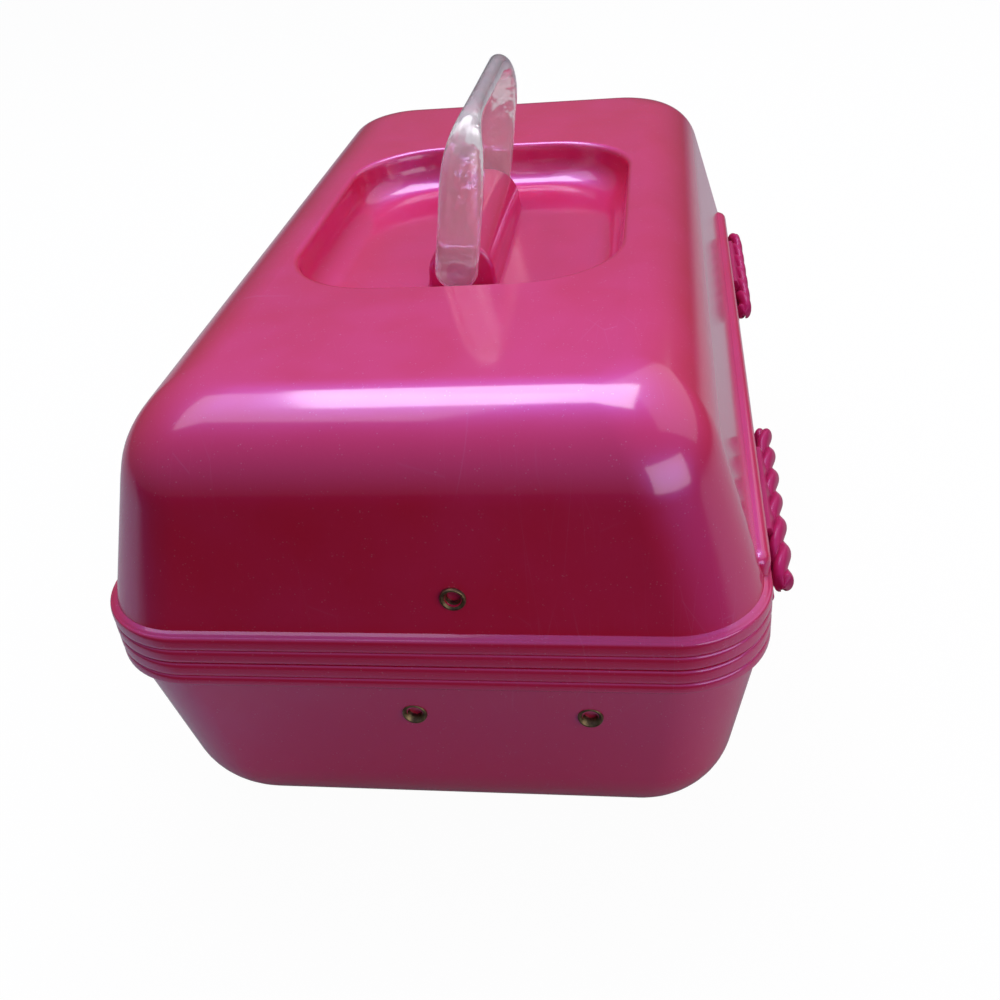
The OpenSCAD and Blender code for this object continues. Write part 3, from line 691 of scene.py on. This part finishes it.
# %% The rope
ROPE_Y, ROPE_Z, ROPE_LENGTH, PITCH = -119.3, 100.0, 101.0, 32.0
STRAND_R, STRAND_OFF, ROPE_SIDES, ROPE_STEPS = 2.5, 1.4, 48, 150
ROPE_TALL, ROPE_LIFT, TIP_POWER, TIP_SHARE = 1.7, 2.6, 26, 0.97
CORE_R, CORE_IN, CORE_REACH = 1.1, 1, 3


def strand_reach(a):
    c = abs(math.cos(a))
    return STRAND_OFF * c + math.sqrt(STRAND_R ** 2 - STRAND_OFF ** 2 * (1 - c * c))


def rope_ring(x, hand):
    share = abs(2 * x / ROPE_LENGTH)
    taper = math.sqrt(max(0.02, 1 - share ** TIP_POWER))
    ring = []
    for i in range(ROPE_SIDES):
        a = 2 * math.pi * i / ROPE_SIDES
        r = strand_reach(a) * taper
        twist = a + 2 * math.pi * x / PITCH
        ring.append((hand * x, ROPE_Y + r * math.cos(twist),
            ROPE_Z + ROPE_LIFT + ROPE_TALL * r * math.sin(twist)))
    return ring


def rope_station(i):
    share = 2 * i / ROPE_STEPS - 1
    if abs(share) > TIP_SHARE:
        return ROPE_LENGTH / 2 * math.sin(math.pi / 2 * share)
    return ROPE_LENGTH * (i / ROPE_STEPS - 0.5)


print("a rope makes", round(ROPE_LENGTH / PITCH, 1), "turns")

# %% [markdown]
# ## The latches
#
# Each latch is a plate that turns on a pin under the rim and hooks into the lid. The rope
# is rolled, a core hole is cut into each tip, and the rope, the plate and the barrel around
# the pin become one piece. Left and right ropes twist in mirrored directions.

# %% The rope-grip latches


def latch(name, side):
    rope = rolled_skin("rope", [rope_ring(rope_station(i), -side) for i in range(ROPE_STEPS + 1)])
    for end in (-1, 1):
        tip = end * (ROPE_LENGTH / 2 - CORE_IN)
        cut_away(rope, rounded_rod("cutter", tip - CORE_REACH, tip + CORE_REACH, ROPE_Y, ROPE_Z, CORE_R,
            edge=0, sides=24))
    smooth(rope, 60)
    y, z = LATCH_PIVOT
    barrel = rounded_rod("barrel", -LATCH_HALF, LATCH_HALF, y, z, LATCH_BARREL_R, edge=0.5)
    nib_top, front = NIB_Z + NIB_HIGH, y - LATCH_BARREL_R
    outline = [(front, z), (y, z), (y, NIB_Z), (-HALF_D + 1.6, NIB_Z), (-HALF_D + 1.9, nib_top),
        (-HALF_D - 1.6, nib_top), (front, NIB_Z - 1.5)]
    plate = rolled_skin("plate", [[(x, py, pz) for py, pz in outline] for x in (-LATCH_HALF, LATCH_HALF)])
    apply(plate, "BEVEL", width=0.5 * MM, segments=3, limit_method="ANGLE",
        angle_limit=math.radians(25))
    smooth(barrel)
    smooth(plate)
    piece = together(name, [rope, barrel, plate])
    piece.location = (side * LATCH_X * MM, 0, 0)
    return place_in_mesh(piece)


latches = {side: latch("latch_%s_moulding" % word, side) for side, word in ((-1, "left"), (1, "right"))}

# %% [markdown]
# ## Fittings that the CAD model already shapes well
#
# The arms, links, tray and mirror frame are plain mouldings. Their CAD shapes are right, but
# their edges are knife sharp, and no real edge is. A copy of each is welded, its flat faces
# are joined up again, and a small bevel breaks every edge.

# %% Softened copies of CAD nodes


def softened(node, name, edge):
    nothing()
    copy = frame["nodes"][node].copy()
    copy.data = copy.data.copy()
    for key in list(copy.keys()):
        del copy[key]
    copy.parent = None
    copy.name = name
    bpy.context.scene.collection.objects.link(copy)
    only(copy)
    bpy.ops.object.mode_set(mode="EDIT")
    bpy.ops.mesh.select_all(action="SELECT")
    bpy.ops.mesh.remove_doubles(threshold=2e-6)
    bpy.ops.mesh.normals_make_consistent(inside=False)
    bpy.ops.mesh.select_all(action="SELECT")
    bpy.ops.mesh.dissolve_limited(angle_limit=math.radians(1))
    bpy.ops.object.mode_set(mode="OBJECT")
    apply(copy, "BEVEL", width=edge * MM, segments=2, limit_method="ANGLE",
        angle_limit=math.radians(35), harden_normals=False)
    smooth(copy)
    bodies = frame["record"]["behaviour"]["bodies"]
    body = next(b for b, members in bodies.items() if node in members)
    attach(copy, body)
    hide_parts(node)
    print(name, len(copy.data.polygons), "faces")
    return copy


tray_pieces = [softened("tray", "tray_moulding", 0.35)]
for side in ("left", "right"):
    for part in ("rear_arm", "front_arm", "lid_link"):
        node_name = "%s_%s" % (part, side)
        tray_pieces.append(softened(node_name, node_name + "_moulding", 0.3))
mirror_frame = softened("mirror_frame", "mirror_frame_moulding", 0.4)

# %% [markdown]
# ## Every piece rides on a body
#
# A piece that rides on a body moves with that body's joint. The shells ride on the base and
# the lid, the bail on the handle, and each latch on its own body.

# %% Riding and replacing
for piece, body, nodes_replaced, slot in (
        (base_shell, "base", ["base_shell"], "case_plastic"),
        (base_fittings, "base", [], "case_plastic"),
        (lid_shell, "lid", ["lid_shell"], "case_plastic"),
        (lid_fittings, "lid", [], "case_plastic"),
        (handle_bar, "lid", [], "case_plastic"),
        (front_band, "lid", [], "case_plastic"),
        (base_eyelets, "base", ["base_rivets"], "rivet_metal"),
        (lid_eyelets, "lid", ["lid_rivets"], "rivet_metal"),
        (bail, "handle", ["handle"], "clear_plastic"),
        (latches[-1], "latch_left", ["latch_left"], "latch_plastic"),
        (latches[1], "latch_right", ["latch_right"], "latch_plastic")):
    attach(piece, body)
    if nodes_replaced:
        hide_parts(*nodes_replaced)
    print(piece.name, "rides on", body)

# %% [markdown]
# ## A small kit for materials
#
# A material is a small machine of nodes. `new_finish` starts one, `node` adds a node and
# sets or links its inputs, `ramp` turns a value into a colour and `grey` into a number. All
# patterns read Object coordinates, so they are measured in metres and stay put when a joint
# moves.

# %% Node helpers


def new_finish(name):
    material = bpy.data.materials.new(name)
    material.use_nodes = True
    print("finish", name)
    return material, material.node_tree, material.node_tree.nodes["Principled BSDF"]


def node(tree, kind, inputs=None, **settings):
    made = tree.nodes.new(kind)
    for name, value in settings.items():
        setattr(made, name, value)
    for name, value in (inputs or {}).items():
        if isinstance(value, bpy.types.NodeSocket):
            tree.links.new(value, made.inputs[name])
        else:
            made.inputs[name].default_value = value
    return made


def ramp(tree, value, stops):
    made = node(tree, "ShaderNodeValToRGB", {"Fac": value})
    elements = made.color_ramp.elements
    while len(elements) < len(stops):
        elements.new(0.5)
    for element, (place, colour) in zip(elements, stops):
        element.position = place
        element.color = (*colour, 1)
    return made.outputs["Color"]


def grey(tree, value, stops):
    return ramp(tree, value, [(place, (level, level, level)) for place, level in stops])


def times(tree, a, b, operation="MULTIPLY"):
    return node(tree, "ShaderNodeMath", {0: a, 1: b}, operation=operation).outputs[0]


def wire(tree, value, shader, socket):
    tree.links.new(value, shader.inputs[socket])


print("node helpers ready")

# %% [markdown]
# ## Places, noise and mixing
#
# Wear and grain come from noise at different scales: a large scale number makes small
# specks. `stretched` squeezes or turns the coordinates first, which draws the specks out
# into streaks, and `bumped` turns a pattern into small dents.

# %% Pattern helpers


def here(tree):
    return node(tree, "ShaderNodeTexCoord").outputs["Object"]


def stretched(tree, scale, turn=(0, 0, 0)):
    settings = {"Vector": here(tree), "Rotation": turn, "Scale": scale}
    return node(tree, "ShaderNodeMapping", settings).outputs["Vector"]


def noise(tree, scale, detail=3.0, roughness=0.5, where=None):
    settings = {"Vector": where or here(tree), "Scale": scale, "Detail": detail, "Roughness": roughness}
    return node(tree, "ShaderNodeTexNoise", settings).outputs["Fac"]


def mixed(tree, share, a, b):
    made = node(tree, "ShaderNodeMix", data_type="RGBA")
    for socket, value in ((made.inputs[0], share), (made.inputs[6], a), (made.inputs[7], b)):
        if isinstance(value, bpy.types.NodeSocket):
            tree.links.new(value, socket)
        else:
            socket.default_value = (*value, 1) if isinstance(value, tuple) else value
    return made.outputs[2]


def bumped(tree, shader, height, strength, distance):
    bump = node(tree, "ShaderNodeBump", {"Height": height, "Strength": strength, "Distance": distance})
    wire(tree, bump.outputs["Normal"], shader, "Normal")


print("pattern helpers ready")

# %% [markdown]
# ## Scratches, specks and rubbed edges
#
# A hairline scratch is the border between two long cells of a Voronoi pattern, kept only
# here and there. A speck is the middle of a small cell. Edges that hands and tables reach
# are rubbed pale: Pointiness finds the outward edges, and the height picks the rim and the
# mouth of the recess and leaves the rivet holes alone.

# %% Marks of use
RIM_FROM, RIM_TO, MOUTH_FROM = 0.42, 0.58, 0.75


def scratches(tree, turn, scale):
    cells = node(tree, "ShaderNodeTexVoronoi", {"Vector": stretched(tree, (1, 9, 1), turn), "Scale": scale},
        feature="DISTANCE_TO_EDGE")
    line = grey(tree, cells.outputs["Distance"], [(0.0, 1.0), (0.005, 0.0)])
    return times(tree, line, grey(tree, noise(tree, 23), [(0.55, 0.0), (0.72, 1.0)]))


def specks(tree):
    flakes = node(tree, "ShaderNodeTexVoronoi", {"Vector": here(tree), "Scale": 800.0})
    speck = grey(tree, flakes.outputs["Distance"], [(0.0, 1.0), (0.24, 0.0)])
    return times(tree, speck, grey(tree, noise(tree, 300), [(0.53, 0.0), (0.64, 1.0)]))


def rubbed_edges(tree):
    point = node(tree, "ShaderNodeNewGeometry").outputs["Pointiness"]
    edge = times(tree, grey(tree, point, [(0.53, 0.0), (0.62, 1.0)]),
        grey(tree, noise(tree, 60), [(0.35, 0.2), (0.7, 1.0)]))
    height = node(tree, "ShaderNodeSeparateXYZ", {"Vector": here(tree)}).outputs["Z"]
    handled = grey(tree, times(tree, height, 5.0), [(RIM_FROM, 0.0), (RIM_FROM + 0.01, 1.0),
        (RIM_TO - 0.01, 1.0), (RIM_TO, 0.0), (MOUTH_FROM, 0.0), (MOUTH_FROM + 0.05, 1.0)])
    return times(tree, edge, handled)


print("wear between", RIM_FROM / 5, "and", RIM_TO / 5, "m and above", MOUTH_FROM / 5, "m")

# %% [markdown]
# ## Pearl pink for the mouldings
#
# The shells are moulded in a deep crimson plastic full of fine pearl flakes. In shade only
# the crimson shows. Where the flakes catch a lamp they throw back a broad lavender shine, so
# the shader has a high index with a soft, tinted highlight, and a clear coat on top gives
# the sharper reflections. The tray and the latches are a plainer mix of the same plastic.

# %% The pearl finish
SHINE, SPECK = (0.27, 0.16, 0.84), (0.9, 0.5, 0.66)


def pearl(name, deep, light, rubbed, rough, index, lacquer):
    material, tree, shader = new_finish(name)
    colour = ramp(tree, noise(tree, 7, 4), [(0.3, deep), (0.7, light)])
    colour = mixed(tree, times(tree, specks(tree), 0.45), colour, SPECK)
    lines = times(tree, scratches(tree, (0.3, 0.2, 0.5), 9), scratches(tree, (1.1, 0.4, 2.0), 12), "ADD")
    colour = mixed(tree, times(tree, lines, 0.15), colour, rubbed)
    colour = mixed(tree, times(tree, rubbed_edges(tree), 0.4), colour, rubbed)
    wire(tree, colour, shader, "Base Color")
    wire(tree, grey(tree, noise(tree, 35, 5), [(0.3, rough - 0.05), (0.7, rough + 0.06)]), shader,
        "Roughness")
    grain = times(tree, times(tree, noise(tree, 900, 2), 0.4), noise(tree, 16, 2), "ADD")
    bumped(tree, shader, grain, 0.10, 0.0006)
    shader.inputs["IOR"].default_value = index
    shader.inputs["Specular Tint"].default_value = (*SHINE, 1)
    shader.inputs["Coat Weight"].default_value = lacquer
    shader.inputs["Coat Roughness"].default_value = 0.11
    shader.inputs["Coat IOR"].default_value = 1.65
    return material


case_pearl = pearl("case_pearl_pink", (0.77, 0.003, 0.013), (0.84, 0.006, 0.022), (0.84, 0.26, 0.45),
    0.42, 3.2, 1.0)
tray_pearl = pearl("tray_pale_pink", (0.66, 0.20, 0.36), (0.74, 0.27, 0.43), (0.88, 0.60, 0.70),
    0.40, 1.5, 0.2)
latch_satin = pearl("latch_satin_pink", (0.46, 0.010, 0.10), (0.53, 0.016, 0.125), (0.74, 0.22, 0.38),
    0.42, 1.5, 0.15)

# %% [markdown]
# ## Clear plastic for the bail
#
# Clear plastic bends what is behind it. Its index is about that of acrylic, a thick moulding
# is never quite flat, so slow and quick waves make the rippled look, and years of hands leave
# it a little hazy with a warm grey tint. The haze is why it doesn't transmit everything.

# %% The clear finish
clear, tree, shader = new_finish("clear_acrylic")
wire(tree, ramp(tree, noise(tree, 14, 3), [(0.3, (0.90, 0.82, 0.85)), (0.7, (0.97, 0.93, 0.95))]),
    shader, "Base Color")
wire(tree, grey(tree, noise(tree, 80, 4), [(0.35, 0.04), (0.75, 0.15)]), shader, "Roughness")
slow_waves = noise(tree, 60, 3, 0.5, stretched(tree, (1, 1, 0.45)))
bumped(tree, shader, times(tree, slow_waves, times(tree, noise(tree, 170, 2), 0.3), "ADD"), 0.75, 0.002)
shader.inputs["Transmission Weight"].default_value = 0.70
shader.inputs["IOR"].default_value = 1.47
shader.inputs["Coat Weight"].default_value = 0.8
shader.inputs["Coat Roughness"].default_value = 0.03

# %% [markdown]
# ## Metals
#
# The eyelets are thin brass under a dark bronze plate that has dulled and gone patchy. The
# pins, washers and studs are plated steel, drawn lengthwise, with faint streaks. The mirror
# is silvered glass with a few smears.

# %% Bronze, steel and mirror


def metal(name, dark, bright, rough, patch, streak=(1, 1, 1)):
    material, tree, shader = new_finish(name)
    drawn = stretched(tree, streak)
    wire(tree, ramp(tree, noise(tree, patch, 5, 0.6, drawn), [(0.35, dark), (0.68, bright)]), shader,
        "Base Color")
    wire(tree, grey(tree, noise(tree, patch * 2, 3, 0.5, drawn), [(0.3, rough), (0.75, rough + 0.2)]),
        shader, "Roughness")
    bumped(tree, shader, noise(tree, patch * 3, 3, 0.5, drawn), 0.2, 0.0002)
    shader.inputs["Metallic"].default_value = 1.0
    return material


bronze = metal("eyelet_bronze", (0.10, 0.075, 0.045), (0.36, 0.27, 0.14), 0.34, 260)
steel = metal("plated_steel", (0.42, 0.42, 0.44), (0.66, 0.66, 0.68), 0.22, 120, (0.1, 1, 1))
silvering, tree, shader = new_finish("mirror_silvering")
wire(tree, ramp(tree, noise(tree, 18), [(0.3, (0.86, 0.88, 0.89)), (0.7, (0.90, 0.91, 0.92))]), shader,
    "Base Color")
wire(tree, grey(tree, noise(tree, 25, 5), [(0.5, 0.015), (0.8, 0.09)]), shader, "Roughness")
shader.inputs["Metallic"].default_value = 1.0

# %% [markdown]
# ## Giving each piece its finish
#
# A piece that Blender made starts with no material place, so it gets one. The CAD nodes keep
# their shapes, and only the material in their places changes.

# %% Coating the pieces


def coat(piece, material):
    if not piece.material_slots:
        piece.data.materials.append(material)
    for place in piece.material_slots:
        place.material = material


fixed = frame["nodes"]
steel_nodes = [fixed[name] for name in ("hinge_pin_left", "hinge_pin_right", "latch_pin_left",
    "latch_pin_right", "base_washers", "lid_washers", "link_studs")]
case_pieces = [base_shell, base_fittings, lid_shell, lid_fittings, handle_bar, front_band, mirror_frame]
for material, pieces in ((case_pearl, case_pieces), (tray_pearl, tray_pieces),
        (latch_satin, latches.values()), (clear, [bail]),
        (bronze, [base_eyelets, lid_eyelets, fixed["arm_rivets"]]), (steel, steel_nodes),
        (silvering, [fixed["mirror"]])):
    for piece in pieces:
        coat(piece, material)
    print(material.name, "on", len(pieces), "pieces")

# %% [markdown]
# ## The floor
#
# The photograph shows the case on pure white. The floor is white to the camera, and clear
# plastic and metal see it too. For all other light it carries a painted pool of light: painted
# shade on the camera's side and pale under the case and beyond, which keeps it from flooding
# the end wall with light. The change lies across X, and what the floor doesn't give off as light
# still takes a shadow.

# %% The floor
FLOOR_SEEN, FLOOR_THROUGH, FLOOR_GLOSS = 0.97, 0.6, 0.05
FLOOR_PAINTED_POOL = [(0.66, 0.03), (0.76, 0.44)]


def seen_share(tree, camera_share, through_share, gloss_share):
    seen = times(tree, camera_share, through_share, "MAXIMUM")
    return times(tree, seen, gloss_share, "MAXIMUM")


nothing()
bpy.ops.mesh.primitive_plane_add(size=8, location=(0, 0, 0))
floor = bpy.context.object
floor.name = "studio_floor"
floor_white = bpy.data.materials.new("floor_white")
floor_white.use_nodes = True
tree = floor_white.node_tree
tree.nodes.clear()
ray = node(tree, "ShaderNodeLightPath").outputs
across = node(tree, "ShaderNodeSeparateXYZ", {"Vector": here(tree)}).outputs["X"]
# painted pool of light for bounced and reflected rays: painted shade on the camera's side, pale under the
# case
shade = grey(tree, times(tree, across, 1.0, "ADD"), FLOOR_PAINTED_POOL)
paint = mixed(tree, ray["Is Camera Ray"], shade, (0.95, 0.95, 0.95))
matt = node(tree, "ShaderNodeBsdfDiffuse", {"Color": paint})
glow = node(tree, "ShaderNodeEmission", {"Color": (1, 1, 1, 1), "Strength": 1.0})
seen = seen_share(tree, times(tree, ray["Is Camera Ray"], FLOOR_SEEN),
    times(tree, ray["Is Transmission Ray"], FLOOR_THROUGH),
    times(tree, times(tree, ray["Is Glossy Ray"], shade), FLOOR_GLOSS))
blend = node(tree, "ShaderNodeMixShader", {0: seen, 1: matt.outputs[0], 2: glow.outputs[0]})
node(tree, "ShaderNodeOutputMaterial", {"Surface": blend.outputs[0]})
coat(floor, floor_white)
print("floor", floor.dimensions.x, "m wide")

# %% [markdown]
# ## The room
#
# The world around is white to the camera as well. For the case it is a dim room: dark low
# down and a soft lavender grey overhead, which the far part of the top reflects.

# %% The room
ROOM_THROUGH, ROOM_GLOSS = 0.7, 0.03
ROOM_SHADE = [(0.0, (0.07, 0.07, 0.07)), (0.4, (0.16, 0.19, 0.27)), (1.0, (0.34, 0.31, 0.47))]
world = bpy.data.worlds.new("studio")
bpy.context.scene.world = world
world.use_nodes = True
tree = world.node_tree
tree.nodes.clear()
ray = node(tree, "ShaderNodeLightPath").outputs
way = node(tree, "ShaderNodeTexCoord").outputs["Generated"]
height = node(tree, "ShaderNodeSeparateXYZ", {"Vector": way}).outputs["Z"]
room = node(tree, "ShaderNodeBackground", {"Color": ramp(tree, height, ROOM_SHADE), "Strength": 1.0})
white = node(tree, "ShaderNodeBackground", {"Color": (1, 1, 1, 1), "Strength": 1.0})
seen = seen_share(tree, ray["Is Camera Ray"], times(tree, ray["Is Transmission Ray"], ROOM_THROUGH),
    times(tree, ray["Is Glossy Ray"], ROOM_GLOSS))
blend = node(tree, "ShaderNodeMixShader", {0: seen, 1: room.outputs[0], 2: white.outputs[0]})
node(tree, "ShaderNodeOutputWorld", {"Surface": blend.outputs[0]})
print("world", world.name)

# %% [markdown]
# ## The lamps
#
# Four soft lamps light the case. The main one hangs beyond it and draws the bright line
# along the near edge of the lid. A weak one fills in from the hinge side, one on the latch
# side lights the front wall, and a low one near the camera keeps the end wall from going
# black. Each is a place, a width, a height, a power in watts and a colour.

# %% The lamps
AIM = Vector((0, 0, 0.1))
for name, place, width, height, watts, colour in (
        ("overhead_lamp", (0.52, 0.03, 1.6), 1.1, 0.8, 14.5, (0.95, 0.96, 1.0)),
        ("back_side_lamp", (0.2, 0.62, 1.56), 1.0, 1.0, 4, (1, 1, 1)),
        ("latch_side_lamp", (0.65, -0.95, 1.15), 1.7, 1.2, 4.0, (1.0, 0.96, 0.94)),
        ("low_front_lamp", (-1.0, -1.1, 0.5), 1.2, 0.8, 6, (1.0, 0.94, 0.90))):
    lamp = bpy.data.lights.new(name, "AREA")
    lamp.shape = "RECTANGLE"
    lamp.size, lamp.size_y, lamp.energy, lamp.color = width, height, watts, colour
    holder = bpy.data.objects.new(name, lamp)
    holder.location = place
    holder.rotation_euler = (AIM - Vector(place)).to_track_quat("-Z", "Y").to_euler()
    bpy.context.scene.collection.objects.link(holder)
    print(name, watts, "W")
bpy.context.scene.view_settings.view_transform = "Standard"
